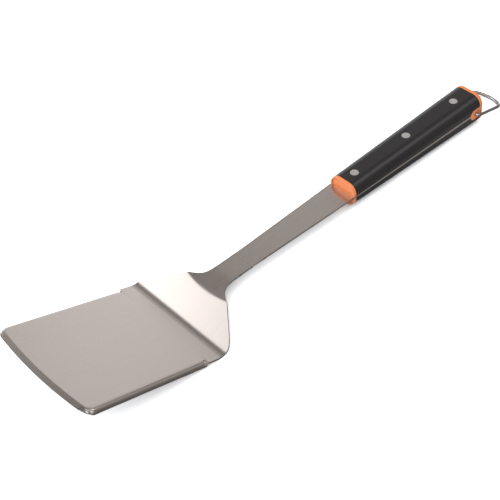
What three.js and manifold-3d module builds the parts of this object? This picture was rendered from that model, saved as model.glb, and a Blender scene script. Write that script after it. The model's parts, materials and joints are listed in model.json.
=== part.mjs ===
// Grill spatula with a turned-down blade, a riveted full-tang handle and a hinged wire hanging loop.
// Millimetres, +Z up, +X from the blade to the handle. The spatula lies as it rests on a table:
// on its heel, which is the fold at the back of the blade, and on the butt of the handle.
import * as THREE from 'three';
import { mergeVertices } from 'three/addons/utils/BufferGeometryUtils.js';
import Module from 'manifold-3d';

const wasm = await Module();
wasm.setup();

// Driving dimensions: the sheet steel part. Heights are of its top surface above the blade's top.
const SHEET = 1.6;                // sheet thickness
const GAP = 0.2;                  // clearance between fixed pieces that touch
const BLADE_WIDTH = 102;          // across the front edge, flange to flange
const BLADE_WIDTH_REAR = 98.8;    // across the rear ends of the flanges
const BLADE_LENGTH = 122.2;       // fold to front edge, at the corners
const FRONT_BOW = 4.3;            // how far the front edge bows forward in the middle
const CORNER_RADIUS = 8;          // front corners, in plan
const BEVEL_WIDTH = 4;            // ground bevel along the front edge
const BEVEL_DROP = 1.5;
const FLANGE_DEPTH = 4.3;         // how far the side flanges reach below the blade's top
const FLANGE_BEND = 2.6;          // outer radius of the flange bends
const FLANGE_END = -14.2;         // rear ends of the flanges
const RELIEF_AT = -15.7;          // middle of the small notch that frees each bend from the plate
const RELIEF_WIDTH = 2.6;
const RELIEF_DEPTH = 3.4;         // in from the flange's outer face
const RELIEF_REACH = 2.4;         // down from the blade's top
const HEEL_WIDTH = 99.8;         // plate behind the notches
const FOLD_ANGLE = THREE.MathUtils.degToRad(43.05);
const FOLD_RADIUS = 11;            // inside radius of the fold
const NECK_START = 5.4;           // where the side line of the neck meets the line of the plate's edge
const NECK_SLOPE = 1.584;         // how fast the half width falls along X in the neck
const NECK_ROUND = 4.4;           // how softly the plate's corners round into the neck
const THROAT_ROUND = 7;           // how softly the neck runs into the shank
const CREASE_X = 21.6;            // crease between riser and shank, on the centre line
const CREASE_BOW = 2;             // how far the crease runs back at its ends
const CREASE_END = 21.4;          // half length of the crease
const CREASE_ROUND = 0.3;
const DISH_LENGTH = 19;           // length over which the shallow dish behind the crease runs out
const SHANK_ANGLE = THREE.MathUtils.degToRad(20.45);
const SHANK_HEIGHT = 14.29;        // height at which the shank's line meets the fold's plane

// Driving dimensions: the handle. Distances run along the shank's own line.
const SHANK_NARROW_AT = 41;
const SHANK_HALF_NARROW = 9;
const HANDLE_START = 168.1;
const SHANK_HALF_AT_HANDLE = 12.5;
const HANDLE_END = 323.4;
const HANDLE_HALF_FRONT = 12.7;   // half width of the handle at its front end
const HANDLE_HALF_REAR = 14.6;
const SCALE_THICK_FRONT = 9.35;    // thickness of each scale at its front end
const SCALE_THICK_REAR = 12.9;
const SHOULDER_RADIUS = 8;        // of the scales' shoulders at the front end
const SHOULDER_RADIUS_REAR = 9;
const SHOULDER_SEGMENTS = 8;
const BOLSTER_THICK = 2.8;
const SPIGOT_LENGTH = 6;          // spigots of the bolsters, inside the scales
const SPIGOT_INSET = 3.4;
const CAP_THICK = 3.4;
const RIVET_PLACES = [182, 242.6, 301.7];
const RIVET_HEAD_RADIUS = 3.5;
const RIVET_HEAD_THICK = 2.4;
const RIVET_BODY_RADIUS = 2.4;
const RIVET_PIN_RADIUS = 1.3;
const RIVET_FIT = 0.1;            // radial clearance round rivets
const RIVET_PIN_LENGTH = 6;

// Driving dimensions: the loop and its lugs on the rear cap.
const PIVOT_AT = 315.2;
const LUG_HALF = 5;               // half height of a lug, and the radius of its nose
const LUG_TIP_AT = 308.5;
const LUG_DEPTH = 6;              // how far a lug reaches in from the side of the handle
const WIRE_RADIUS = 1.3;
const SOCKET_CLEARANCE = 0.3;     // radial clearance of the wire in its sockets
const SOCKET_DEPTH = 4.4;
const PIN_DEPTH = 3.8;
const LOOP_HALF_WIDTH = 17.4;     // wire centre line, at the pivots
const LOOP_HALF_AT_CORNER = 14.8;
const LOOP_CORNER_AT = 34.5;      // pivot to the corners of the loop
const LOOP_APEX_AT = 42.5;          // pivot to where the two halves of its bowed end would meet
const PIVOT_TRIM = 2.8;           // how far each bend reaches along the straights beside it
const CORNER_TRIM = 4.5;
const APEX_TRIM = 11;
const WIRE_STEPS = 84;
const WIRE_SIDES = 10;           // an even number
const ROUND_SIDES = 24;
const TABLE_CLEARANCE = 1;     // between the loop's end and the table

const steel = new THREE.MeshStandardMaterial({ color: 0xbdb3ac, roughness: 0.35, metalness: 1 });
const rivetSteel = new THREE.MeshStandardMaterial({ color: 0xc8bfb9, roughness: 0.3, metalness: 1 });
const wireSteel = new THREE.MeshStandardMaterial({ color: 0xb9b4b0, roughness: 0.2, metalness: 1 });
const blackPlastic = new THREE.MeshStandardMaterial({ color: 0x1f1e20, roughness: 0.5, metalness: 0 });
const orangePlastic = new THREE.MeshStandardMaterial({ color: 0xd9713a, roughness: 0.45, metalness: 0 });

const lerp = THREE.MathUtils.lerp;
const smoothMin = (a, b, softness) => (a + b - Math.hypot(a - b, softness)) / 2;
const smoothMax = (a, b, softness) => (a + b + Math.hypot(a - b, softness)) / 2;

// ---------------------------------------------------------------- solids

function toSolid(geometry) {
  const bare = geometry.clone();
  bare.deleteAttribute('normal');
  bare.deleteAttribute('uv');
  const merged = mergeVertices(bare, 1e-4);
  const mesh = new wasm.Mesh({
    numProp: 3,
    vertProperties: new Float32Array(merged.attributes.position.array),
    triVerts: new Uint32Array(merged.index.array),
  });
  return new wasm.Manifold(mesh);
}

function toGeometry(solid) {
  const mesh = solid.getMesh();
  const geometry = new THREE.BufferGeometry();
  geometry.setAttribute('position', new THREE.BufferAttribute(new Float32Array(mesh.vertProperties), 3));
  geometry.setIndex(new THREE.BufferAttribute(new Uint32Array(mesh.triVerts), 1));
  geometry.computeVertexNormals();
  return geometry;
}

function namedMesh(name, geometry, material) {
  const mesh = new THREE.Mesh(geometry, material);
  mesh.name = name;
  return mesh;
}

// A cylinder standing on z = low, with its axis along Z.
function disc(radius, low, high, x = 0) {
  const geometry = new THREE.CylinderGeometry(radius, radius, high - low, ROUND_SIDES);
  geometry.rotateX(Math.PI / 2);
  geometry.translate(x, 0, (low + high) / 2);
  return toSolid(geometry);
}

// ---------------------------------------------------------------- sheet steel part

const bladeHalf = (x) => {
  const along = (x - FLANGE_END) / (-BLADE_LENGTH - FLANGE_END);
  return lerp(BLADE_WIDTH_REAR, BLADE_WIDTH, along) / 2;
};

const shankHalf = (s) => {
  const along = (s - SHANK_NARROW_AT) / (HANDLE_START - SHANK_NARROW_AT);
  return lerp(SHANK_HALF_NARROW, SHANK_HALF_AT_HANDLE, along);
};

const handleHalf = (s) => {
  const along = (s - HANDLE_START) / (HANDLE_END - HANDLE_START);
  return lerp(HANDLE_HALF_FRONT, HANDLE_HALF_REAR, along);
};

// Half width of the plate, neck and shank at plan position x.
function neckHalf(x) {
  const diagonal = HEEL_WIDTH / 2 - NECK_SLOPE * (x - NECK_START);
  const rounded = smoothMin(HEEL_WIDTH / 2, diagonal, NECK_ROUND);
  return smoothMax(rounded, shankHalf(x / Math.cos(SHANK_ANGLE)), THROAT_ROUND);
}

function riserHeight(x) {
  const tangent = FOLD_RADIUS * Math.tan(FOLD_ANGLE / 2);
  if (x < -tangent) return 0;
  if (x > tangent * Math.cos(FOLD_ANGLE)) return x * Math.tan(FOLD_ANGLE);
  return FOLD_RADIUS - Math.sqrt(FOLD_RADIUS ** 2 - (x + tangent) ** 2);
}

const creaseAt = (y) => CREASE_X + CREASE_BOW * Math.min(1, (y / CREASE_END) ** 2);

// Top surface behind the fold: the riser, then the shank's plane with a shallow dish behind the crease.
function topHeight(x, y) {
  const crease = creaseAt(y);
  const shankLine = SHANK_HEIGHT + x * Math.tan(SHANK_ANGLE);
  const dishDepth = SHANK_HEIGHT + crease * (Math.tan(SHANK_ANGLE) - Math.tan(FOLD_ANGLE));
  const behind = THREE.MathUtils.clamp((x - crease) / DISH_LENGTH, 0, 1);
  return smoothMin(riserHeight(x), shankLine - dishDepth * (1 - behind) ** 2, CREASE_ROUND);
}

function topNormal(x, y) {
  const step = 0.05;
  const slopeX = (topHeight(x + step, y) - topHeight(x - step, y)) / (2 * step);
  const slopeY = (topHeight(x, y + step) - topHeight(x, y - step)) / (2 * step);
  return new THREE.Vector3(-slopeX, -slopeY, 1).normalize();
}

const FLANGE_ARC_STEPS = 4;
const FLAT_STEPS = 8;
const LEAST_BEND = 0.01;
const ACROSS = 2 * (FLANGE_ARC_STEPS + 1) + FLAT_STEPS;

// One point of a flanged cross-section: index runs from the -Y flange's lower edge to the +Y one.
// bend is the flange's angle: a right angle is a finished flange. The bent strip keeps its length.
function flangedPoint(index, half, bend) {
  const side = index < ACROSS / 2 ? -1 : 1;
  const fromEdge = Math.min(index, ACROSS - index);
  const lip = FLANGE_DEPTH - FLANGE_BEND;
  const radius = FLANGE_BEND * Math.PI / 2 / bend;
  const flatHalf = half - radius * Math.sin(bend) - lip * Math.cos(bend);
  if (fromEdge > FLANGE_ARC_STEPS) {
    const y = lerp(-flatHalf, flatHalf, (index - FLANGE_ARC_STEPS - 1) / FLAT_STEPS);
    return { y, z: 0, normal: new THREE.Vector3(0, 0, 1) };
  }
  const turned = bend * (1 - Math.max(0, fromEdge - 1) / FLANGE_ARC_STEPS);
  const straight = fromEdge === 0 ? lip : 0;
  const out = flatHalf + radius * Math.sin(turned) + straight * Math.cos(bend);
  const down = radius * (1 - Math.cos(turned)) + straight * Math.sin(bend);
  return { y: side * out, z: -down, normal: new THREE.Vector3(0, side * Math.sin(turned), Math.cos(turned)) };
}

// A station is one row of points across the sheet. Blade stations are flanged and carry the front bow.
function bladeStation(fromFront) {
  const x = -BLADE_LENGTH + fromFront;
  const inCorner = Math.max(0, CORNER_RADIUS - fromFront);
  const cornerLoss = CORNER_RADIUS - Math.sqrt(CORNER_RADIUS ** 2 - inCorner ** 2);
  const runIn = THREE.MathUtils.smoothstep(fromFront, 0, CORNER_RADIUS);
  const bend = Math.max(LEAST_BEND, runIn * Math.PI / 2);
  const bowLeft = 1 - fromFront / (BLADE_LENGTH + FLANGE_END);
  const half = bladeHalf(x) - cornerLoss;
  const bevel = BEVEL_DROP * Math.max(0, 1 - fromFront / BEVEL_WIDTH);
  return (index, isTop) => {
    const { y, z, normal } = flangedPoint(index, half, bend);
    const bow = FRONT_BOW * bowLeft * (1 - (2 * y / BLADE_WIDTH) ** 2);
    const point = new THREE.Vector3(x - bow, y, z);
    return isTop ? point.setZ(z - bevel) : point.addScaledVector(normal, -SHEET);
  };
}

// Plate stations are flat across, apart from the dish behind the crease.
function plateStation(positionAt, half) {
  return (index, isTop) => {
    const y = half * (2 * index / ACROSS - 1);
    const x = positionAt(y);
    const point = new THREE.Vector3(x, y, topHeight(x, y));
    return isTop ? point : point.addScaledVector(topNormal(x, y), -SHEET);
  };
}

const spread = (from, to, count) => Array.from({ length: count }, (_, i) => lerp(from, to, i / (count - 1)));

function bladeStations() {
  const corner = spread(0, Math.PI / 2, 10).map((turn) => CORNER_RADIUS * (1 - Math.cos(turn)));
  const sides = spread(CORNER_RADIUS, BLADE_LENGTH + FLANGE_END, 8).slice(1);
  return [...corner, ...sides].map(bladeStation);
}

function neckStations() {
  const tangent = FOLD_RADIUS * Math.tan(FOLD_ANGLE / 2);
  const creaseWidth = 1.6;
  const plate = spread(FLANGE_END + GAP, -tangent, 5);
  const fold = spread(-tangent, tangent * Math.cos(FOLD_ANGLE), 7).slice(1);
  const straight = [...plate, ...fold].map((x) => plateStation(() => x, neckHalf(x)));
  const foldEnd = tangent * Math.cos(FOLD_ANGLE);
  const riserShares = spread(0, 1, 8).slice(1);
  const riser = riserShares.map((share) => {
    const half = neckHalf(lerp(foldEnd, creaseAt(CREASE_END) - creaseWidth, share));
    return plateStation((y) => lerp(foldEnd, creaseAt(y) - creaseWidth, share), half);
  });
  const crease = spread(-creaseWidth, creaseWidth, 7).slice(1).map((offset) => {
    return plateStation((y) => creaseAt(y) + offset, neckHalf(creaseAt(CREASE_END) + offset));
  });
  const throatEnd = CREASE_X + CREASE_BOW + DISH_LENGTH;
  const throat = spread(0, 1, 11).slice(1).map((share) => {
    const half = neckHalf(lerp(creaseAt(CREASE_END) + creaseWidth, throatEnd, share));
    return plateStation((y) => lerp(creaseAt(y) + creaseWidth, throatEnd, share), half);
  });
  return [...straight, ...riser, ...crease, ...throat];
}

function tangStations() {
  const at = (s, half) => plateStation(() => s * Math.cos(SHANK_ANGLE), half);
  const tongueHalf = handleHalf(LUG_TIP_AT) - LUG_DEPTH - GAP;
  const shank = [90, 130, HANDLE_START].map((s) => at(s, shankHalf(s)));
  const tangStart = HANDLE_START + BOLSTER_THICK;
  const tangEnd = LUG_TIP_AT - GAP;
  return [
    ...shank,
    at(tangStart, handleHalf(tangStart)),
    at(tangEnd, handleHalf(tangEnd)),
    at(tangEnd + GAP / 4, tongueHalf),
    at(HANDLE_END - CAP_THICK - GAP, tongueHalf),
  ];
}

// The one-piece sheet part: a box with one cell per station and step across, bent to the stations.
function sheetSolid() {
  const stations = [...bladeStations(), ...neckStations(), ...tangStations()];
  const cells = stations.length - 1;
  const geometry = new THREE.BoxGeometry(cells, ACROSS, 1, cells, ACROSS, 1);
  const position = geometry.attributes.position;
  for (let i = 0; i < position.count; i += 1) {
    const station = stations[Math.round(position.getX(i) + cells / 2)];
    const index = Math.round(position.getY(i) + ACROSS / 2);
    const point = station(index, position.getZ(i) > 0);
    position.setXYZ(i, point.x, point.y, point.z);
  }
  return toSolid(geometry);
}

const handlePlace = new THREE.Group();
handlePlace.rotation.y = -SHANK_ANGLE;
handlePlace.position.set(0, 0, SHANK_HEIGHT);
handlePlace.translateZ(-SHEET / 2);
handlePlace.updateMatrix();

// A notch is a slot with a round inner end, cut in from the side through the plate and the bend.
function reliefSlot(side) {
  const radius = RELIEF_WIDTH / 2;
  const inner = bladeHalf(RELIEF_AT) - RELIEF_DEPTH + radius;
  const end = disc(radius, -RELIEF_REACH, SHEET, 0);
  const slot = new THREE.BoxGeometry(RELIEF_WIDTH, RELIEF_DEPTH * 2, RELIEF_REACH + SHEET);
  slot.translate(0, side * RELIEF_DEPTH, (SHEET - RELIEF_REACH) / 2);
  return end.add(toSolid(slot)).translate(RELIEF_AT, side * inner, 0);
}

function bladeAndTang() {
  let solid = sheetSolid().subtract(reliefSlot(-1)).subtract(reliefSlot(1));
  for (const s of RIVET_PLACES) {
    const drill = disc(RIVET_BODY_RADIUS + RIVET_FIT, -SHEET, SHEET, s);
    solid = solid.subtract(drill.transform(handlePlace.matrix.toArray()));
  }
  return namedMesh('blade_and_tang', toGeometry(solid), steel);
}

// ---------------------------------------------------------------- handle

const SEAT = SHEET / 2 + GAP;     // height of the scales' flat inner faces above the tang's middle
const SCALE_START = HANDLE_START + BOLSTER_THICK + GAP;
const CAP_START = HANDLE_END - CAP_THICK;
const SCALE_END = CAP_START - GAP;
const SPIGOT_END = HANDLE_START + BOLSTER_THICK + SPIGOT_LENGTH;
const LUG_INNER = handleHalf(LUG_TIP_AT) - LUG_DEPTH;

const shareOfHandle = (s) => (s - HANDLE_START) / (HANDLE_END - HANDLE_START);
const scaleTop = (s) => SEAT + lerp(SCALE_THICK_FRONT, SCALE_THICK_REAR, shareOfHandle(s));
const shoulderRadius = (s) => lerp(SHOULDER_RADIUS, SHOULDER_RADIUS_REAR, shareOfHandle(s));

// Outline of the handle above the tang at its front end: a flat top between two round shoulders.
// The inset moves it inwards.
function halfSection(inset) {
  const half = HANDLE_HALF_FRONT - inset;
  const top = scaleTop(HANDLE_START) - inset;
  const radius = SHOULDER_RADIUS - inset;
  const shape = new THREE.Shape();
  shape.moveTo(-half, SEAT);
  shape.lineTo(half, SEAT);
  shape.absarc(half - radius, top - radius, radius, 0, Math.PI / 2, false);
  shape.absarc(-half + radius, top - radius, radius, Math.PI / 2, Math.PI, false);
  return shape;
}

// Outline of the whole handle at its front end, with both halves and the tang between them.
function fullSection() {
  const across = HANDLE_HALF_FRONT - SHOULDER_RADIUS;
  const up = scaleTop(HANDLE_START) - SHOULDER_RADIUS;
  const shape = new THREE.Shape();
  const corners = [[across, up], [-across, up], [-across, -up], [across, -up]];
  corners.forEach(([x, y], quarter) => {
    const from = quarter * Math.PI / 2;
    shape.absarc(x, y, SHOULDER_RADIUS, from, from + Math.PI / 2, false);
  });
  return shape;
}

// Stretches the flat part of a section to its new half length and resizes the round corner beyond it.
function stretched(value, flat, newFlat, cornerGrowth) {
  const beyond = Math.max(0, Math.abs(value) - flat);
  const within = Math.min(Math.abs(value), flat) * newFlat / flat;
  return Math.sign(value) * (within + beyond * cornerGrowth);
}

// Extrudes a front-end section along the handle, and widens and thickens it as the handle does.
function alongHandle(section, start, end) {
  const options = { depth: end - start, bevelEnabled: false, curveSegments: SHOULDER_SEGMENTS };
  const geometry = new THREE.ExtrudeGeometry(section, options);
  const position = geometry.attributes.position;
  const flatAcross = HANDLE_HALF_FRONT - SHOULDER_RADIUS;
  const flatUp = scaleTop(HANDLE_START) - SHOULDER_RADIUS;
  for (let i = 0; i < position.count; i += 1) {
    const s = start + position.getZ(i);
    const radius = shoulderRadius(s);
    const growth = radius / SHOULDER_RADIUS;
    const across = stretched(position.getX(i), flatAcross, handleHalf(s) - radius, growth);
    const height = position.getY(i);
    const isSeat = Math.abs(Math.abs(height) - SEAT) < 0.001;
    const up = isSeat ? height : stretched(height, flatUp, scaleTop(s) - radius, growth);
    position.setXYZ(i, s, across, up);
  }
  return toSolid(geometry);
}

// A lug seen from the side is a round nose that runs forward from the rear cap.
function lugGeometry(grow) {
  const half = LUG_HALF + grow;
  const shape = new THREE.Shape();
  shape.moveTo(CAP_START + GAP, -half);
  shape.lineTo(CAP_START + GAP, half);
  shape.absarc(LUG_TIP_AT + LUG_HALF, 0, half, Math.PI / 2, 1.5 * Math.PI, false);
  const options = { depth: LUG_DEPTH * 2, bevelEnabled: false, curveSegments: SHOULDER_SEGMENTS };
  const geometry = new THREE.ExtrudeGeometry(shape, options);
  geometry.rotateX(-Math.PI / 2);
  geometry.translate(0, LUG_INNER - grow, 0);
  return geometry;
}

function bothLugs(grow) {
  const far = lugGeometry(grow);
  const near = lugGeometry(grow).rotateX(Math.PI);
  return toSolid(far).add(toSolid(near));
}

function turnedOver(geometry) {
  return geometry.clone().rotateX(Math.PI);
}

function upperScale() {
  let solid = alongHandle(halfSection(0), SCALE_START, SCALE_END);
  const pocketEnd = SPIGOT_END + GAP;
  solid = solid.subtract(alongHandle(halfSection(SPIGOT_INSET - GAP), SCALE_START - GAP, pocketEnd));
  solid = solid.subtract(bothLugs(GAP));
  for (const s of RIVET_PLACES) {
    const top = scaleTop(s);
    solid = solid.subtract(disc(RIVET_BODY_RADIUS + RIVET_FIT, 0, top, s));
    solid = solid.subtract(disc(RIVET_HEAD_RADIUS + RIVET_FIT, top - RIVET_HEAD_THICK - RIVET_FIT, top + 1, s));
  }
  return toGeometry(solid);
}

function upperBolster() {
  const plate = alongHandle(halfSection(0), HANDLE_START, HANDLE_START + BOLSTER_THICK);
  const spigot = alongHandle(halfSection(SPIGOT_INSET), HANDLE_START + BOLSTER_THICK / 2, SPIGOT_END);
  return toGeometry(plate.add(spigot));
}

// The rear cap: an end plate over both scales, with a lug on each side that holds one end of the loop.
function rearCap() {
  const rearPart = alongHandle(fullSection(), LUG_TIP_AT - 1, HANDLE_END);
  const plate = alongHandle(fullSection(), CAP_START, HANDLE_END);
  let solid = plate.add(rearPart.intersect(bothLugs(0)));
  for (const side of [-1, 1]) {
    const radius = WIRE_RADIUS + SOCKET_CLEARANCE;
    const drill = new THREE.CylinderGeometry(radius, radius, SOCKET_DEPTH * 2, ROUND_SIDES);
    drill.translate(PIVOT_AT, side * handleHalf(PIVOT_AT), 0);
    solid = solid.subtract(toSolid(drill));
  }
  return toGeometry(solid);
}

// Rivets are pressed together from two halves: a tube from above and a pin from below.
function rivetTube(s) {
  const top = scaleTop(s);
  const head = disc(RIVET_HEAD_RADIUS, top - RIVET_HEAD_THICK, top, s);
  const body = disc(RIVET_BODY_RADIUS, RIVET_FIT, top, s);
  const bore = disc(RIVET_PIN_RADIUS + RIVET_FIT, -RIVET_FIT, RIVET_PIN_LENGTH + RIVET_FIT, s);
  return toGeometry(head.add(body).subtract(bore));
}

function rivetPin(s) {
  const bottom = -scaleTop(s);
  const head = disc(RIVET_HEAD_RADIUS, bottom, bottom + RIVET_HEAD_THICK, s);
  const body = disc(RIVET_BODY_RADIUS, bottom, -RIVET_FIT, s);
  const pin = disc(RIVET_PIN_RADIUS, bottom, RIVET_PIN_LENGTH, s);
  return toGeometry(head.add(body).add(pin));
}

// ---------------------------------------------------------------- hanging loop

// The wire's centre line in the loop's own XY plane, with the pivot axis along Y.
function loopPath() {
  const pinEnd = handleHalf(PIVOT_AT) - PIN_DEPTH;
  const corners = [
    [0, -LOOP_HALF_WIDTH, PIVOT_TRIM],
    [LOOP_CORNER_AT, -LOOP_HALF_AT_CORNER, CORNER_TRIM],
    [LOOP_APEX_AT, 0, APEX_TRIM],
    [LOOP_CORNER_AT, LOOP_HALF_AT_CORNER, CORNER_TRIM],
    [0, LOOP_HALF_WIDTH, PIVOT_TRIM],
  ].map(([x, y, trim]) => ({ at: new THREE.Vector3(x, y, 0), trim }));
  const end = new THREE.Vector3(0, pinEnd, 0);
  const path = new THREE.CurvePath();
  let from = new THREE.Vector3(0, -pinEnd, 0);
  corners.forEach(({ at, trim }, i) => {
    const next = i + 1 < corners.length ? corners[i + 1].at : end;
    const into = at.clone().add(from.clone().sub(at).setLength(trim));
    const out = at.clone().add(next.clone().sub(at).setLength(trim));
    path.add(new THREE.LineCurve3(from, into));
    path.add(new THREE.QuadraticBezierCurve3(into, at, out));
    from = out;
  });
  path.add(new THREE.LineCurve3(from, end));
  return path;
}

function loopWire(path) {
  const section = new THREE.Shape();
  section.absarc(0, 0, WIRE_RADIUS, 0, Math.PI * 2, false);
  const options = { steps: WIRE_STEPS, extrudePath: path, curveSegments: WIRE_SIDES / 2 };
  return toGeometry(toSolid(new THREE.ExtrudeGeometry(section, options)));
}

// ---------------------------------------------------------------- rest on the table

// The angle that the spatula is tipped back by: a line from the butt's lower edge, tangent to the
// underside of the fold.
function tipAngle() {
  const tangent = FOLD_RADIUS * Math.tan(FOLD_ANGLE / 2);
  const butt = new THREE.Vector3(HANDLE_END, 0, -scaleTop(HANDLE_END)).applyMatrix4(handlePlace.matrix);
  const fromFold = butt.sub(new THREE.Vector3(-tangent, 0, FOLD_RADIUS));
  const heelRadius = FOLD_RADIUS + SHEET;
  return Math.atan2(fromFold.z, fromFold.x) + Math.asin(heelRadius / fromFold.length());
}

// The loop's droop below the handle's own line, with its end just clear of the table.
function loopDroop(path, tip) {
  const reach = new THREE.Box3().setFromPoints(path.getPoints(WIRE_STEPS)).max.x;
  const handlePitch = SHANK_ANGLE - tip;
  const buttHeight = scaleTop(HANDLE_END) * Math.cos(handlePitch);
  const pivotHeight = buttHeight - (HANDLE_END - PIVOT_AT) * Math.sin(handlePitch);
  return Math.asin((pivotHeight - WIRE_RADIUS - TABLE_CLEARANCE) / reach) + handlePitch;
}

// ---------------------------------------------------------------- assembly

const scale = upperScale();
const bolster = upperBolster();
handlePlace.add(
  namedMesh('upper_scale', scale, blackPlastic),
  namedMesh('lower_scale', turnedOver(scale), blackPlastic),
  namedMesh('upper_bolster', bolster, orangePlastic),
  namedMesh('lower_bolster', turnedOver(bolster), orangePlastic),
  namedMesh('rear_cap', rearCap(), orangePlastic),
);
['front', 'middle', 'rear'].forEach((place, i) => {
  handlePlace.add(namedMesh(`${place}_rivet_tube`, rivetTube(RIVET_PLACES[i]), rivetSteel));
  handlePlace.add(namedMesh(`${place}_rivet_pin`, rivetPin(RIVET_PLACES[i]), rivetSteel));
});

const tip = tipAngle();
const path = loopPath();
const loop = namedMesh('hanging_loop', loopWire(path), wireSteel);
loop.position.set(PIVOT_AT, 0, 0);
loop.rotation.y = loopDroop(path, tip);
handlePlace.add(loop);

const tipped = new THREE.Group();
tipped.rotation.y = tip;
tipped.add(bladeAndTang(), handlePlace);

// The origin is on the table, under the middle of the spatula.
const spatula = new THREE.Group();
spatula.add(tipped);
spatula.updateMatrixWorld(true);
const bounds = new THREE.Box3().setFromObject(spatula, true);
const middle = bounds.getCenter(new THREE.Vector3());
spatula.position.set(-middle.x, 0, -bounds.min.z);

export default spatula;
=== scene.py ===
import json
import math

import bmesh
import bpy
from mathutils import Matrix, Vector


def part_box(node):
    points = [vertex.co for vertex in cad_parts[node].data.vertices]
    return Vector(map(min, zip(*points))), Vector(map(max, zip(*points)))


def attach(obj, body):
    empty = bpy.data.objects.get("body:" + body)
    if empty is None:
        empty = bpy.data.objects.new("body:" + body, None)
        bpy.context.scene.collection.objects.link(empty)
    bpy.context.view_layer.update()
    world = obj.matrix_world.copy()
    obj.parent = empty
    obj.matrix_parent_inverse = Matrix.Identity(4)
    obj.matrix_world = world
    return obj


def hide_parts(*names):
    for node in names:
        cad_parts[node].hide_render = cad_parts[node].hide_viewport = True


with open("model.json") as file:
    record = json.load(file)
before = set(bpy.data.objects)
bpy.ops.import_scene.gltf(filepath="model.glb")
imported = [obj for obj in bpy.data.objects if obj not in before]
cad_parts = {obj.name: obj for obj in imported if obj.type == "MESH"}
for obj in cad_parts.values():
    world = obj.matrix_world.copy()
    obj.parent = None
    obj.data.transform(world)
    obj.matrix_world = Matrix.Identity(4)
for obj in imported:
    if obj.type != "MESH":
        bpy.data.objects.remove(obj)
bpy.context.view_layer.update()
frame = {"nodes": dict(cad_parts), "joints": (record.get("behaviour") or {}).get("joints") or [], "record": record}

# ---------------------------------------------------------------- blade, neck, shank and tang
# One stainless sheet, 1.6 mm thick: blanked, folded up behind the blade, creased back down to the
# shank, with its sides turned down and its front edge ground to a bevel. The tang runs on between
# the handle scales. The top is brushed along its length.
MM = 0.001
SHEET = 1.59
BLADE_WIDTH = 102.0
BLADE_WIDTH_REAR = 98.8
BLADE_LENGTH = 122.2
FRONT_BOW = 4.3
CORNER_RADIUS = 8.0
BEVEL_WIDTH = 4.15
BEVEL_DROP = 1.505
FLANGE_DEPTH = 4.3
FLANGE_BEND = 2.6
FLANGE_END = -14.2
RELIEF_FRONT = -17.0
RELIEF_REAR = -14.5
RELIEF_DEPTH = 3.4
HEEL_WIDTH = 99.8
FOLD_ANGLE = math.radians(43.05)
FOLD_RADIUS = 11.0
NECK_START = 5.4
NECK_SLOPE = 1.584
NECK_ROUND = 4.4
THROAT_ROUND = 7.0
THROAT_TAIL = 15.0
CREASE_X = 21.6
CREASE_BOW = 2.0
CREASE_END = 21.4
CREASE_ROUND = 0.3
CREASE_WIDTH = 1.2
DISH_LENGTH = 19.0
SHANK_ANGLE = math.radians(20.45)
SHANK_HEIGHT = 14.29
SHANK_STRAIGHT_FROM = 62.0
SHANK_NARROW_AT = 41.0
SHANK_HALF_NARROW = 9.0
SHANK_HALF_AT_HANDLE = 12.5
HANDLE_START = 168.1
HANDLE_END = 323.4
HANDLE_HALF_FRONT = 12.7
HANDLE_HALF_REAR = 14.6
BOLSTER_THICK = 2.8
CAP_THICK = 3.4
LUG_TIP_AT = 308.5
LUG_DEPTH = 6.0
SIDE_GAP = 0.2
MOUNT_AT = -65.0
FLANGE_STEPS = 10
RELIEF_STEPS = 12
FLAT_STEPS = 44
ACROSS = 2 * (FLANGE_STEPS + 1) + FLAT_STEPS

blade_mount = next(m for m in frame["record"]["mounts"] if m["name"] == "blade_top")
blade_up = Vector(blade_mount["axis"])
blade_along = Vector((0, 1, 0)).cross(blade_up)
blade_origin = Vector(blade_mount["pos_m"]) - blade_along * MOUNT_AT * MM
blade_turn = Matrix((blade_along, (0, 1, 0), blade_up)).transposed()
blade_place = Matrix.Translation(blade_origin) @ blade_turn.to_4x4() @ Matrix.Scale(MM, 4)


def mix(a, b, share):
    return a + (b - a) * share


def smooth_min(a, b, softness):
    return (a + b - math.hypot(a - b, softness)) / 2


def smooth_max(a, b, softness):
    return (a + b + math.hypot(a - b, softness)) / 2


def smoothstep(x, low, high):
    share = min(1, max(0, (x - low) / (high - low)))
    return share * share * (3 - 2 * share)


def spread(low, high, count):
    return [mix(low, high, i / (count - 1)) for i in range(count)]


def blade_half(x):
    return mix(BLADE_WIDTH_REAR, BLADE_WIDTH, (x - FLANGE_END) / (-BLADE_LENGTH - FLANGE_END)) / 2


def shank_half(s):
    share = (s - SHANK_NARROW_AT) / (HANDLE_START - SHANK_NARROW_AT)
    return mix(SHANK_HALF_NARROW, SHANK_HALF_AT_HANDLE, share)


def handle_half(s):
    return mix(HANDLE_HALF_FRONT, HANDLE_HALF_REAR, (s - HANDLE_START) / (HANDLE_END - HANDLE_START))


def neck_half(x):
    rounded = smooth_min(HEEL_WIDTH / 2, HEEL_WIDTH / 2 - NECK_SLOPE * (x - NECK_START), NECK_ROUND)
    return smooth_max(rounded, shank_half(x / math.cos(SHANK_ANGLE)), THROAT_ROUND)


def riser_height(x):
    tangent = FOLD_RADIUS * math.tan(FOLD_ANGLE / 2)
    if x < -tangent:
        return 0
    if x > tangent * math.cos(FOLD_ANGLE):
        return x * math.tan(FOLD_ANGLE)
    return FOLD_RADIUS - math.sqrt(FOLD_RADIUS ** 2 - (x + tangent) ** 2)


def crease_at(y):
    return CREASE_X + CREASE_BOW * min(1, (y / CREASE_END) ** 2)


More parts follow.
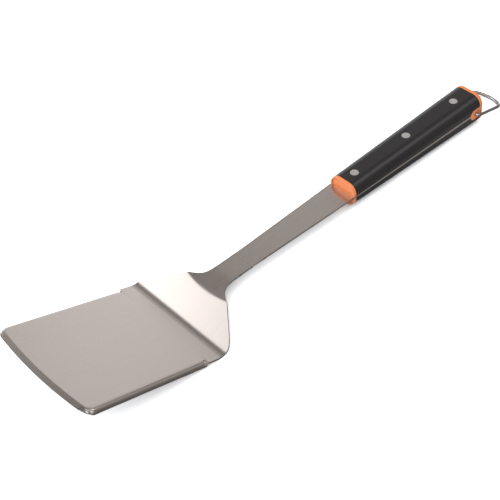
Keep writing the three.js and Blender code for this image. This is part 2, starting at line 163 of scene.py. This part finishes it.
def top_height(x, y):
    crease = crease_at(y)
    shank_line = SHANK_HEIGHT + x * math.tan(SHANK_ANGLE)
    dish = SHANK_HEIGHT + crease * (math.tan(SHANK_ANGLE) - math.tan(FOLD_ANGLE))
    behind = min(1, max(0, (x - crease) / DISH_LENGTH))
    return smooth_min(riser_height(x), shank_line - dish * (1 - behind) ** 2, CREASE_ROUND)


def top_normal(x, y):
    step = 0.05
    slope_x = (top_height(x + step, y) - top_height(x - step, y)) / (2 * step)
    slope_y = (top_height(x, y + step) - top_height(x, y - step)) / (2 * step)
    return Vector((-slope_x, -slope_y, 1)).normalized()


def flanged_point(index, half, bend):
    side = -1 if index < ACROSS / 2 else 1
    from_edge = min(index, ACROSS - index)
    lip = FLANGE_DEPTH - FLANGE_BEND
    radius = FLANGE_BEND * math.pi / 2 / bend
    flat_half = half - radius * math.sin(bend) - lip * math.cos(bend)
    if from_edge > FLANGE_STEPS:
        y = mix(-flat_half, flat_half, (index - FLANGE_STEPS - 1) / FLAT_STEPS)
        return Vector((0, y, 0)), Vector((0, 0, 1))
    turned = bend * (1 - max(0, from_edge - 1) / FLANGE_STEPS)
    straight = lip if from_edge == 0 else 0
    out = flat_half + radius * math.sin(turned) + straight * math.cos(bend)
    down = radius * (1 - math.cos(turned)) + straight * math.sin(bend)
    return Vector((0, side * out, -down)), Vector((0, side * math.sin(turned), math.cos(turned)))


def blade_station(from_front):
    x = -BLADE_LENGTH + from_front
    in_corner = max(0, CORNER_RADIUS - from_front)
    corner_loss = CORNER_RADIUS - math.sqrt(CORNER_RADIUS ** 2 - in_corner ** 2)
    bend = max(0.01, smoothstep(from_front, 0, CORNER_RADIUS) * math.pi / 2)
    half = blade_half(x) - corner_loss
    bevel = BEVEL_DROP * max(0, 1 - from_front / BEVEL_WIDTH)
    bow_left = 1 - from_front / (BLADE_LENGTH + FLANGE_END)

    def point(index, is_top):
        place, normal = flanged_point(index, half, bend)
        place.x = x - FRONT_BOW * bow_left * (1 - (2 * place.y / BLADE_WIDTH) ** 2)
        if is_top:
            return place - Vector((0, 0, bevel))
        return place - normal * SHEET
    return point


def plate_station(position_at, half):
    def point(index, is_top):
        y = half * (2 * index / ACROSS - 1)
        x = position_at(y)
        place = Vector((x, y, top_height(x, y)))
        return place if is_top else place - top_normal(x, y) * SHEET
    return point


def sheet_stations():
    turns = spread(0, math.pi / 2, 25)
    fronts = [CORNER_RADIUS * (1 - math.cos(turn)) for turn in turns]
    fronts += [BEVEL_WIDTH - 0.12, BEVEL_WIDTH + 0.12]
    fronts += spread(CORNER_RADIUS, BLADE_LENGTH + RELIEF_FRONT, 24)[1:]
    fronts += spread(BLADE_LENGTH + RELIEF_FRONT, BLADE_LENGTH + RELIEF_REAR, RELIEF_STEPS + 1)[1:]
    fronts += [BLADE_LENGTH + FLANGE_END]
    stations = [blade_station(f) for f in sorted(fronts)]
    relief_from = sorted(fronts).index(BLADE_LENGTH + RELIEF_FRONT)
    tangent = FOLD_RADIUS * math.tan(FOLD_ANGLE / 2)
    fold_end = tangent * math.cos(FOLD_ANGLE)
    straight = spread(FLANGE_END + 0.2, -tangent, 8) + spread(-tangent, fold_end, 25)[1:]
    stations += [plate_station(lambda y, x=x: x, neck_half(x)) for x in straight]
    for share in spread(0, 1, 19)[1:]:
        half = neck_half(mix(fold_end, crease_at(CREASE_END) - CREASE_WIDTH, share))
        stations.append(plate_station(
            lambda y, k=share: mix(fold_end, crease_at(y) - CREASE_WIDTH, k), half))
    for offset in spread(-CREASE_WIDTH, CREASE_WIDTH, 15)[1:]:
        half = neck_half(crease_at(CREASE_END) + offset)
        stations.append(plate_station(lambda y, d=offset: crease_at(y) + d, half))
    throat_end = CREASE_X + CREASE_BOW + DISH_LENGTH + THROAT_TAIL
    for share in spread(0, 1, 31)[1:]:
        half = neck_half(mix(crease_at(CREASE_END) + CREASE_WIDTH, throat_end, share))
        stations.append(plate_station(
            lambda y, k=share: mix(crease_at(y) + CREASE_WIDTH, throat_end, k), half))
    tongue = handle_half(LUG_TIP_AT) - LUG_DEPTH - SIDE_GAP
    tang_start = HANDLE_START + BOLSTER_THICK
    tang_end = LUG_TIP_AT - SIDE_GAP
    rear = [(s, shank_half(s)) for s in spread(SHANK_STRAIGHT_FROM, HANDLE_START, 12)]
    rear += [(s, handle_half(s)) for s in spread(tang_start, tang_end, 12)]
    rear += [(tang_end + 0.05, tongue), (HANDLE_END - CAP_THICK - SIDE_GAP, tongue)]
    for s, half in rear:
        stations.append(plate_station(lambda y, x=s * math.cos(SHANK_ANGLE): x, half))
    return stations, relief_from


def relief_bite(x):
    """How far the round inner end of a relief notch reaches into the flat, at one place along it."""
    radius = (RELIEF_REAR - RELIEF_FRONT) / 2
    off_middle = min(radius, abs(x - (RELIEF_FRONT + RELIEF_REAR) / 2))
    return (RELIEF_DEPTH - FLANGE_BEND) * math.sqrt(radius ** 2 - off_middle ** 2) / radius


def sheet_mesh():
    stations, relief_from = sheet_stations()
    rows = len(stations) - 1
    bm = bmesh.new()
    bmesh.ops.create_grid(bm, x_segments=rows, y_segments=ACROSS, size=0.5)
    bmesh.ops.transform(bm, matrix=Matrix.Diagonal((rows, ACROSS, 1, 1)), verts=bm.verts)
    bmesh.ops.translate(bm, vec=(rows / 2, ACROSS / 2, 0), verts=bm.verts)
    in_notch = range(relief_from, relief_from + RELIEF_STEPS + 1)
    notch_ends = (FLANGE_STEPS + 1, ACROSS - FLANGE_STEPS - 1)
    notches = []
    for face in bm.faces:
        middle = face.calc_center_median()
        column = min(middle.y, ACROSS - middle.y)
        if relief_from < middle.x < relief_from + RELIEF_STEPS and 1 < column < FLANGE_STEPS + 1:
            notches.append(face)
    bmesh.ops.delete(bm, geom=notches, context="FACES")
    above = bmesh.ops.extrude_face_region(bm, geom=bm.faces[:], use_keep_orig=True)["geom"]
    above = [v for v in above if isinstance(v, bmesh.types.BMVert)]
    bmesh.ops.translate(bm, vec=(0, 0, 1), verts=above)
    for v in bm.verts:
        row, index, is_top = round(v.co.x), round(v.co.y), v.co.z > 0.5
        v.co = stations[row](index, is_top)
        if row in in_notch and index in notch_ends:
            v.co.y -= math.copysign(relief_bite(v.co.x), v.co.y)
    bmesh.ops.recalc_face_normals(bm, faces=bm.faces[:])
    return bm


def add_piece(name, bm, material, place, body, nodes, sharp=30):
    bmesh.ops.transform(bm, matrix=place, verts=bm.verts)
    mesh = bpy.data.meshes.new(name)
    bm.to_mesh(mesh)
    bm.free()
    mesh.shade_smooth()
    mesh.set_sharp_from_angle(angle=math.radians(sharp))
    piece = bpy.data.objects.new(name, mesh)
    bpy.context.scene.collection.objects.link(piece)
    mesh.materials.append(material)
    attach(piece, body)
    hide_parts(*nodes)
    return piece


def new_material(name, color, metallic, roughness):
    material = bpy.data.materials.new(name)
    material.use_nodes = True
    shader = material.node_tree.nodes["Principled BSDF"]
    shader.inputs["Base Color"].default_value = (*color, 1)
    shader.inputs["Metallic"].default_value = metallic
    shader.inputs["Roughness"].default_value = roughness
    return material, material.node_tree, shader


def grain(tree, scale, stretch, detail=6.0):
    """Noise on Object coordinates, stretched along one axis."""
    nodes, links = tree.nodes, tree.links
    place = nodes.new("ShaderNodeTexCoord")
    mapping = nodes.new("ShaderNodeMapping")
    mapping.inputs["Scale"].default_value = stretch
    noise = nodes.new("ShaderNodeTexNoise")
    noise.inputs["Scale"].default_value = scale
    noise.inputs["Detail"].default_value = detail
    links.new(place.outputs["Object"], mapping.inputs["Vector"])
    links.new(mapping.outputs["Vector"], noise.inputs["Vector"])
    return noise.outputs["Fac"]


def ranged(tree, value, low, high):
    remap = tree.nodes.new("ShaderNodeMapRange")
    remap.inputs["From Min"].default_value = 0.25
    remap.inputs["From Max"].default_value = 0.75
    remap.inputs["To Min"].default_value = low
    remap.inputs["To Max"].default_value = high
    tree.links.new(value, remap.inputs["Value"])
    return remap.outputs["Result"]


def tinted(tree, value, dark, light):
    blend = tree.nodes.new("ShaderNodeMix")
    blend.data_type = "RGBA"
    blend.inputs["A"].default_value = (*dark, 1)
    blend.inputs["B"].default_value = (*light, 1)
    tree.links.new(value, blend.inputs["Factor"])
    return blend.outputs["Result"]


brushed_sheet, tree, shader = new_material("brushed_sheet", (0.66, 0.58, 0.53), 1.0, 0.3)
fine = grain(tree, 1600, (0.015, 1, 0.015), 3.0)
broad = grain(tree, 90, (0.1, 1, 0.1), 4.0)
tree.links.new(ranged(tree, fine, 0.27, 0.29), shader.inputs["Roughness"])
steel = tinted(tree, broad, (0.632, 0.562, 0.517), (0.648, 0.578, 0.533))
tree.links.new(steel, shader.inputs["Base Color"])

add_piece("sheet_steel_blade", sheet_mesh(), brushed_sheet, blade_place, "spatula",
          ["blade_and_tang"], sharp=35)

# ---------------------------------------------------------------- front bolsters
# Two moulded orange end plates, one above the shank and one below, that close the front ends of
# the scales. A raised lip with rounded edges runs round a shallow recess in each front face.
PIVOT_AT = 315.2
SEAT = SHEET / 2 + SIDE_GAP
SCALE_THICK_FRONT = 9.35
SCALE_THICK_REAR = 12.9
SHOULDER_FRONT = 8.0
SHOULDER_REAR = 9.0
BOLSTER_LIP = 1.1
BOLSTER_RECESS = 1.0

pivot = Vector(frame["joints"][0]["pos_m"])
handle_along = blade_along * math.cos(SHANK_ANGLE) + blade_up * math.sin(SHANK_ANGLE)
handle_up = handle_along.cross(Vector((0, 1, 0)))
handle_turn = Matrix((handle_along, (0, 1, 0), handle_up)).transposed()
handle_place = Matrix.Translation(pivot - handle_along * PIVOT_AT * MM)
handle_place = handle_place @ handle_turn.to_4x4() @ Matrix.Scale(MM, 4)


def bumped(tree, shader, value, strength, distance):
    bump = tree.nodes.new("ShaderNodeBump")
    bump.inputs["Strength"].default_value = strength
    bump.inputs["Distance"].default_value = distance
    tree.links.new(value, bump.inputs["Height"])
    tree.links.new(bump.outputs["Normal"], shader.inputs["Normal"])


orange_trim, tree, shader = new_material("orange_trim", (0.43, 0.126, 0.04), 0.0, 0.42)
speckle = grain(tree, 700, (1, 1, 1))
orange = tinted(tree, speckle, (0.385, 0.111, 0.034), (0.42, 0.125, 0.04))
tree.links.new(orange, shader.inputs["Base Color"])
tree.links.new(ranged(tree, speckle, 0.38, 0.48), shader.inputs["Roughness"])
bumped(tree, shader, speckle, 0.05, 0.0001)


def scale_top(s):
    share = (s - HANDLE_START) / (HANDLE_END - HANDLE_START)
    return SEAT + mix(SCALE_THICK_FRONT, SCALE_THICK_REAR, share)


def box(start, end, half, low, high):
    bm = bmesh.new()
    bmesh.ops.create_cube(bm, size=1)
    size = Matrix.Diagonal((end - start, 2 * half, high - low, 1))
    middle = Matrix.Translation(((start + end) / 2, 0, (low + high) / 2))
    bmesh.ops.transform(bm, matrix=middle @ size, verts=bm.verts)
    return bm


def round_edges(bm, edges, offset, segments):
    bmesh.ops.bevel(bm, geom=edges, offset=offset, segments=segments, profile=0.5,
                    affect="EDGES", material=-1)


def shoulders(bm, heights):
    return [e for e in bm.edges
            if all(any(abs(v.co.z - h) < 0.01 for h in heights) for v in e.verts)
            and abs(e.verts[0].co.x - e.verts[1].co.x) > 0.1]


def bolster_mesh():
    start, end = HANDLE_START, HANDLE_START + BOLSTER_THICK
    top = scale_top(start)
    bm = box(start, end, HANDLE_HALF_FRONT, SEAT, top)
    round_edges(bm, shoulders(bm, [top]), SHOULDER_FRONT, 18)
    face = next(f for f in bm.faces if all(abs(v.co.x - start) < 0.01 for v in f.verts))
    bmesh.ops.inset_region(bm, faces=[face], thickness=BOLSTER_LIP)
    for v in face.verts:
        if v.co.z < SEAT + BOLSTER_LIP + 0.01:
            v.co.z = SEAT + 0.02
    recess = bmesh.ops.extrude_discrete_faces(bm, faces=[face])["faces"][0]
    bmesh.ops.translate(bm, vec=(BOLSTER_RECESS, 0, 0), verts=recess.verts)
    rim = [e for e in bm.edges if all(abs(v.co.x - start) < 0.01 for v in e.verts)
           and any(f.normal.x > -0.5 and len(f.verts) == 4 for f in e.link_faces)]
    round_edges(bm, rim, 0.25, 3)
    bmesh.ops.recalc_face_normals(bm, faces=bm.faces[:])
    return bm


turned_over = Matrix.Rotation(math.pi, 4, "X")
add_piece("upper_front_bolster", bolster_mesh(), orange_trim, handle_place, "spatula",
          ["upper_bolster"])
add_piece("lower_front_bolster", bolster_mesh(), orange_trim, handle_place @ turned_over, "spatula",
          ["lower_bolster"])

# ---------------------------------------------------------------- handle scales
# Two moulded black halves, with flat tops between round shoulders, seated on the tang and drilled
# for the rivets. Their rear corners are cut out for the lugs of the rear cap.
black_handle, tree, shader = new_material("black_handle", (0.0088, 0.0075, 0.0075), 0.0, 0.4)
satin = grain(tree, 1400, (1, 1, 1), 4.0)
tree.links.new(ranged(tree, satin, 0.30, 0.38), shader.inputs["Roughness"])


def merged_copy(node):
    bm = bmesh.new()
    bm.from_mesh(frame["nodes"][node].data)
    bmesh.ops.remove_doubles(bm, verts=bm.verts, dist=0.000002)
    bmesh.ops.dissolve_limit(bm, angle_limit=math.radians(1), verts=bm.verts, edges=bm.edges)
    return bm


for node in ("upper_scale", "lower_scale"):
    scale = add_piece(node.replace("scale", "handle_scale"), merged_copy(node), black_handle,
                      Matrix.Identity(4), "spatula", [node], sharp=28)
    even_shading = scale.modifiers.new("even_shading", "WEIGHTED_NORMAL")
    even_shading.keep_sharp = True
    even_shading.weight = 100

# ---------------------------------------------------------------- rivets
# Three pressed rivets hold the scales to the tang, each a steel tube from above and a pin from
# below. Their heads are ground flush with the scales.
rivet_steel, tree, shader = new_material("rivet_steel", (0.74, 0.70, 0.68), 1.0, 0.34)
ground = grain(tree, 1500, (1, 1, 1), 3.0)
tree.links.new(ranged(tree, ground, 0.28, 0.46), shader.inputs["Roughness"])
head_steel = tinted(tree, ground, (0.78, 0.735, 0.715), (0.92, 0.87, 0.85))
tree.links.new(head_steel, shader.inputs["Base Color"])
bumped(tree, shader, ground, 0.15, 0.0002)
for place in ("front", "middle", "rear"):
    for half in ("tube", "pin"):
        rivet = frame["nodes"][f"{place}_rivet_{half}"]
        rivet.data.materials.clear()
        rivet.data.materials.append(rivet_steel)

# ---------------------------------------------------------------- rear cap
# One moulded orange end plate across both scales. A lug on each side runs forward from it, flush
# in the scales' rear corners, with a round socket for one end of the hanging loop.
LUG_HALF = 5.0
LUG_SOCKET = 1.6
LUG_SOCKET_DEPTH = 4.4
LUG_OVERLAP = 0.3
LUG_SEGMENTS = 64


def cap_plate():
    start, end = HANDLE_END - CAP_THICK, HANDLE_END
    top = scale_top(end)
    bm = box(start, end, HANDLE_HALF_REAR, -top, top)
    round_edges(bm, shoulders(bm, [top, -top]), SHOULDER_REAR, 20)
    for v in bm.verts:
        if v.co.x < end - 0.01:
            v.co.y *= handle_half(start) / HANDLE_HALF_REAR
            v.co.z *= scale_top(start) / top
    rim = [e for e in bm.edges if all(abs(v.co.x - end) < 0.01 for v in e.verts)]
    round_edges(bm, rim, 0.6, 4)
    return bm


def lug(bm, side):
    """A round-nosed block with a round blind hole in its outer face."""
    nose_at = LUG_TIP_AT + LUG_HALF
    rear = HANDLE_END - CAP_THICK + LUG_OVERLAP
    inner = side * (handle_half(LUG_TIP_AT) - LUG_DEPTH)
    outline = bmesh.ops.create_circle(bm, cap_ends=True, radius=LUG_HALF,
                                      segments=LUG_SEGMENTS)["verts"]
    turn = Matrix.Rotation(math.pi / 2, 4, "X")
    bmesh.ops.transform(bm, matrix=Matrix.Translation((nose_at, 0, 0)) @ turn, verts=outline)
    for v in outline:
        if v.co.x > nose_at + 0.01:
            rise = v.co.z
            v.co.x = rear
            v.co.z = max(-LUG_HALF, min(LUG_HALF, rise * 1.02))
        v.co.y = side * handle_half(v.co.x)
    face = next(f for f in outline[0].link_faces if len(f.verts) == LUG_SEGMENTS)
    base = bmesh.ops.extrude_face_region(bm, geom=[face])["geom"]
    outer = next(f for f in base if isinstance(f, bmesh.types.BMFace))
    for v in outline:
        v.co.y = inner
    bmesh.ops.inset_individual(bm, faces=[outer], thickness=0.4)
    for v in outer.verts:
        spoke = Vector((v.co.x - PIVOT_AT, 0, v.co.z)).normalized() * LUG_SOCKET
        v.co = Vector((PIVOT_AT + spoke.x, side * handle_half(PIVOT_AT + spoke.x), spoke.z))
    hole = bmesh.ops.extrude_discrete_faces(bm, faces=[outer])["faces"][0]
    for v in hole.verts:
        v.co.y -= side * LUG_SOCKET_DEPTH


cap = cap_plate()
for side in (-1, 1):
    lug(cap, side)
bmesh.ops.remove_doubles(cap, verts=cap.verts, dist=0.005)
bmesh.ops.recalc_face_normals(cap, faces=cap.faces[:])
add_piece("rear_end_cap", cap, orange_trim, handle_place, "spatula", ["rear_cap"])

# ---------------------------------------------------------------- hanging loop
# One round stainless wire, bent to a loop with a bowed end. Its two ends are bent in and turn in
# the sockets of the rear cap.
WIRE_RADIUS = 1.3
LOOP_CORNERS = ((0, -17.4, 2.8), (34.5, -14.8, 4.5), (42.46, 0, 11.0),
                (34.5, 14.8, 4.5), (0, 17.4, 2.8))
PIN_DEPTH = 3.8

polished_wire, tree, shader = new_material("polished_wire", (0.34, 0.325, 0.315), 1.0, 0.2)
drawn = grain(tree, 400, (1, 1, 1), 3.0)
tree.links.new(ranged(tree, drawn, 0.16, 0.24), shader.inputs["Roughness"])
bumped(tree, shader, drawn, 0.03, 0.0001)


def loop_line():
    """The wire's centre line in the loop's own plane, with round bends."""
    pin = handle_half(PIVOT_AT) - PIN_DEPTH
    corners = [(Vector((x, y, 0)), trim) for x, y, trim in LOOP_CORNERS]
    points = [Vector((0, -pin, 0))]
    for i, (at, trim) in enumerate(corners):
        following = corners[i + 1][0] if i + 1 < len(corners) else Vector((0, pin, 0))
        into = at + (points[-1] - at).normalized() * trim
        out = at + (following - at).normalized() * trim
        for share in spread(0, 1, 17):
            points.append(mix(mix(into, at, share), mix(at, out, share), share))
    return points + [Vector((0, pin, 0))]


def loop_mesh():
    line = loop_line()
    bm = bmesh.new()
    rings = []
    for i, at in enumerate(line):
        ahead = (line[min(i + 1, len(line) - 1)] - line[max(i - 1, 0)]).normalized()
        across = Vector((0, 0, 1)).cross(ahead)
        turn = Matrix((across, Vector((0, 0, 1)), ahead)).transposed().to_4x4()
        ends = i in (0, len(line) - 1)
        ring = bmesh.ops.create_circle(bm, cap_ends=ends, radius=WIRE_RADIUS, segments=24,
                                       matrix=Matrix.Translation(at) @ turn)["verts"]
        rings.append(ring)
    for first, second in zip(rings, rings[1:]):
        edges = {e for v in first + second for e in v.link_edges if len(e.link_faces) < 2}
        near = set(first) | set(second)
        edges = [e for e in edges if e.verts[0] in near and e.verts[1] in near]
        edges = [e for e in edges if (e.verts[0] in first) == (e.verts[1] in first)]
        bmesh.ops.bridge_loops(bm, edges=edges)
    bmesh.ops.recalc_face_normals(bm, faces=bm.faces[:])
    return bm


loop_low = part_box("hanging_loop")[0]
reach = max(p.x for p in loop_line()) * MM
droop = math.asin((pivot.z - WIRE_RADIUS * MM - loop_low.z) / reach)
loop_place = Matrix.Translation(pivot) @ Matrix.Rotation(droop, 4, "Y") @ Matrix.Scale(MM, 4)
add_piece("wire_hanging_loop", loop_mesh(), polished_wire, loop_place, "loop",
          ["hanging_loop"])

# ---------------------------------------------------------------- studio
# A pale floor in a soft surround, graded by direction as large cards would be: bright on the left,
# dim in the middle, grey on the right, dark below, with four soft patches and a lamp overhead. The
# steel reflects the surround only, because glossy rays don't see the floor or the lamp.
floor_material, tree, shader = new_material("pale_floor", (0.95, 0.95, 0.95), 0.0, 0.9)
bpy.ops.mesh.primitive_plane_add(size=60)
floor = bpy.context.object
floor.name = "floor"
floor.data.materials.append(floor_material)
floor.visible_glossy = False
floor.location.z = -0.0001

world = bpy.data.worlds.new("studio")
bpy.context.scene.world = world
world.use_nodes = True
tree = world.node_tree
sky = tree.nodes["Background"]
direction = tree.nodes.new("ShaderNodeTexCoord").outputs["Generated"]
split = tree.nodes.new("ShaderNodeSeparateXYZ")
tree.links.new(direction, split.inputs["Vector"])


def graded(value, stops):
    """Light over one component of the direction: pairs of a place from -1 to 1 and a brightness."""
    scaled = tree.nodes.new("ShaderNodeMapRange")
    scaled.inputs["From Min"].default_value = -1
    tree.links.new(value, scaled.inputs["Value"])
    curve = tree.nodes.new("ShaderNodeFloatCurve")
    points = curve.mapping.curves[0].points
    for at, height in stops[1:-1]:
        points.new((at + 1) / 2, height)
    for point, (at, height) in zip(points, stops):
        point.location = ((at + 1) / 2, height)
        point.handle_type = "VECTOR"
    curve.mapping.update()
    tree.links.new(scaled.outputs["Result"], curve.inputs["Value"])
    return curve.outputs["Value"]


def combined(operation, a, b):
    node = tree.nodes.new("ShaderNodeMath")
    node.operation = operation
    for value, socket in ((a, node.inputs[0]), (b, node.inputs[1])):
        if isinstance(value, (int, float)):
            socket.default_value = value
        else:
            tree.links.new(value, socket)
    return node.outputs["Value"]


def soft_patch(toward, inner, outer, strength):
    """Light round one direction: full within the inner angle, none past the outer, in degrees."""
    facing = tree.nodes.new("ShaderNodeVectorMath")
    facing.operation = "DOT_PRODUCT"
    tree.links.new(direction, facing.inputs[0])
    facing.inputs[1].default_value = Vector(toward).normalized()
    edge = tree.nodes.new("ShaderNodeMapRange")
    edge.interpolation_type = "SMOOTHSTEP"
    edge.inputs["From Min"].default_value = math.cos(math.radians(outer))
    edge.inputs["From Max"].default_value = math.cos(math.radians(inner))
    edge.inputs["To Max"].default_value = strength
    tree.links.new(facing.outputs["Value"], edge.inputs["Value"])
    return edge.outputs["Result"]


left = graded(split.outputs["X"], [(-1, 0.7), (-0.2, 0.95), (-0.1, 0.6), (0.02, 0.05), (0.1, 0), (1, 0)])
left_inward = graded(split.outputs["Y"], [
    (-1, 0.35), (0.3, 0.25), (0.46, 0.1), (0.52, 0.2), (0.6, 0.9), (1, 1)])
right = graded(split.outputs["X"], [
    (-1, 0), (0, 0.02), (0.18, 0.05), (0.26, 0.11), (0.34, 0.06), (0.42, 0.06), (0.48, 0.21),
    (0.54, 0.2), (0.59, 0.08), (0.63, 0.09), (0.69, 0.24), (0.8, 0.25), (1, 0.26)])
right_inward = graded(split.outputs["Y"], [
    (-1, 0.3), (0.1, 0.15), (0.42, 0.3), (0.5, 0.5), (0.7, 0.68), (1, 1)])
upper = graded(split.outputs["Z"], [(-1, 0.06), (-0.12, 0.08), (0.03, 1), (1, 1)])
lower = graded(split.outputs["Z"], [(-1, 0.12), (-0.1, 0.14), (0.05, 0), (1, 0)])
light = combined("ADD", combined("MULTIPLY", combined("MULTIPLY", left, left_inward), 3.7),
                 combined("MULTIPLY", combined("MULTIPLY", right, right_inward), 6.5))
light = combined("ADD", combined("MULTIPLY", light, upper), lower)
for toward, inner, outer, strength in (
        ((0.45, -0.38, 0.8), 5, 20, 2.0),
        ((0.75, -0.42, -0.5), 10, 20, 0.35),
        ((0.5, 0.85, -0.1), 8, 25, 0.9),
        ((-0.95, 0, 0.4), 15, 48, 3.6)):
    light = combined("ADD", light, soft_patch(toward, inner, outer, strength))
tinted_light = tree.nodes.new("ShaderNodeMix")
tinted_light.data_type = "RGBA"
tinted_light.inputs["A"].default_value = (1, 0.97, 0.95, 1)
tinted_light.inputs["B"].default_value = (0.98, 1, 1.03, 1)
tree.links.new(light, tinted_light.inputs["Factor"])
tree.links.new(tinted_light.outputs["Result"], sky.inputs["Color"])
tree.links.new(light, sky.inputs["Strength"])

fill = bpy.data.lights.new("top_fill", "AREA")
fill.shape = "RECTANGLE"
fill.size, fill.size_y = 2.4, 2.4
fill.energy = 45
top_fill = bpy.data.objects.new("top_fill", fill)
bpy.context.scene.collection.objects.link(top_fill)
top_fill.location = (-0.2, -0.3, 1.5)
top_fill.visible_glossy = False

camera_data = bpy.data.cameras.new("camera")
camera_data.sensor_width = 36
camera_data.lens = 83.2
camera_data.clip_start = 0.01
camera = bpy.data.objects.new("camera", camera_data)
bpy.context.scene.collection.objects.link(camera)
camera_axes = Matrix(((0.70225, -0.68134, 0.20644),
                      (0.23230, 0.49340, 0.83821),
                      (-0.67297, -0.54067, 0.50477)))
camera.rotation_mode = "QUATERNION"
camera.rotation_quaternion = (blade_turn @ camera_axes.transposed()).to_quaternion()
camera.location = blade_place @ Vector((-519.146, -467.364, 479.343))
bpy.context.scene.camera = camera
bpy.context.scene.view_settings.view_transform = "Standard"
